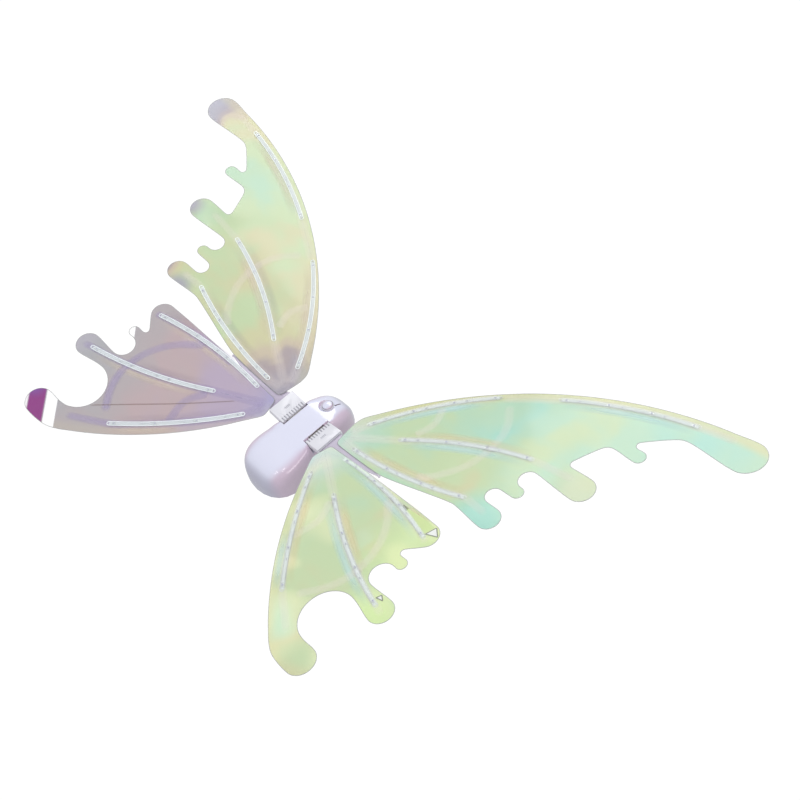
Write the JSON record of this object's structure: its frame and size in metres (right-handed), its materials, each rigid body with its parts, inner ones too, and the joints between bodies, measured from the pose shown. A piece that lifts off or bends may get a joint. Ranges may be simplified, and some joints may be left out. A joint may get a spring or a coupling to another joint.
{
  "type": "fairy wings",
  "caption": "Motorised butterfly-style costume wings: a mouse-shaped drive case worn on the back flaps plug-in pairs of iridescent film panels with light strips.",
  "frame": {"origin": "on the back plate's outer face, on the centre line and level with the middle of the two wing plugs", "axes": "+Z is the wearer's up, +Y is out of the flat back plate towards the wearer, +X is to the right seen from the button side, along the wings"},
  "size_m": [0.8716, 0.1127, 0.4604],
  "materials": {
    "shell": "pearl gloss",
    "plug": "satin",
    "film": "iridescent clear film",
    "root_plate": "translucent lilac",
    "strip_cover": "milky clear",
    "light_tape": "white flexible circuit",
    "indicator": "smoked",
    "nylon": "moulded",
    "steel": "plain",
    "battery": "sleeved",
    "board": "solder mask",
    "black_plastic": "moulded"
  },
  "bodies": {
    "case": {"front_shell": "shell", "back_plate": "shell", "indicator_lens": "indicator", "case_screw_1": "steel", "case_screw_2": "steel", "case_screw_3": "steel", "case_screw_4": "steel", "button_ring": "plug", "circuit_board": "board", "tact_switch": "black_plastic", "battery_tray": "nylon", "battery_1": "battery", "battery_2": "battery", "battery_3": "battery", "contact_plate_upper": "steel", "contact_plate_lower": "steel", "chassis": "nylon", "motor": "steel", "crank_axle": "steel", "hinge_pin_right": "steel", "hinge_pin_left": "steel"},
    "button": {"power_button": "shell"},
    "door": {"battery_door": "shell"},
    "pinion": {"motor_pinion": "nylon"},
    "crank": {"crank_wheel": "nylon"},
    "yoke": {"yoke": "nylon"},
    "arm_right": {"flap_arm_right": "nylon"},
    "arm_left": {"flap_arm_left": "nylon"},
    "wing_right": {"plug_base_right": "plug", "plug_cover_right": "plug", "root_plate_right": "root_plate", "upper_film_right": "film", "lower_film_right": "film", "light_circuit_upper_right": "light_tape", "light_circuit_lower_right": "light_tape", "strip_cover_1_right": "strip_cover", "strip_cover_2_right": "strip_cover", "strip_cover_3_right": "strip_cover", "strip_cover_4_right": "strip_cover", "strip_cover_5_right": "strip_cover", "strip_cover_6_right": "strip_cover", "strip_cover_7_right": "strip_cover"},
    "wing_left": {"plug_base_left": "plug", "plug_cover_left": "plug", "root_plate_left": "root_plate", "upper_film_left": "film", "lower_film_left": "film", "light_circuit_upper_left": "light_tape", "light_circuit_lower_left": "light_tape", "strip_cover_1_left": "strip_cover", "strip_cover_2_left": "strip_cover", "strip_cover_3_left": "strip_cover", "strip_cover_4_left": "strip_cover", "strip_cover_5_left": "strip_cover", "strip_cover_6_left": "strip_cover", "strip_cover_7_left": "strip_cover"}
  },
  "joints": [
    {"name": "flap_right", "type": "hinge", "parent": "case", "child": "arm_right", "pos_m": [0.014, -0.03, 0], "axis": [0, 0, -1], "range_deg": [-28, 20]},
    {"name": "flap_left", "type": "hinge", "parent": "case", "child": "arm_left", "pos_m": [-0.014, -0.03, 0], "axis": [0, 0, 1], "range_deg": [-28, 20]},
    {"name": "yoke_slide", "type": "slide", "parent": "case", "child": "yoke", "axis": [0, 1, 0], "range_m": [-0.003, 0.0022]},
    {"name": "crank_spin", "type": "hinge", "parent": "case", "child": "crank", "pos_m": [0, -0.019, 0], "axis": [0, 0, 1], "continuous": true},
    {"name": "pinion_spin", "type": "hinge", "parent": "case", "child": "pinion", "pos_m": [-0.015, -0.019, 0], "axis": [0, 0, 1], "continuous": true},
    {"name": "plug_right", "type": "slide", "parent": "arm_right", "child": "wing_right", "axis": [0.9834, -0.1814, 0], "range_m": [0, 0.02]},
    {"name": "plug_left", "type": "slide", "parent": "arm_left", "child": "wing_left", "axis": [-0.9834, -0.1814, 0], "range_m": [0, 0.02]},
    {"name": "power_press", "type": "slide", "parent": "case", "child": "button", "axis": [0, 1, 0], "range_m": [0, 0.0012], "stiffness_N_per_m": 500, "springref_m": -0.0006},
    {"name": "battery_door_hinge", "type": "hinge", "parent": "case", "child": "door", "pos_m": [0, 0, -0.012], "axis": [1, 0, 0], "range_deg": [0, 100]}
  ],
  "couplings": [
    {"joint": "flap_left", "follows": "flap_right", "ratio": 1},
    {"joint": "yoke_slide", "follows": "flap_right", "m_per_rad": 0.0059},
    {"joint": "pinion_spin", "follows": "crank_spin", "ratio": -2}
  ]
}
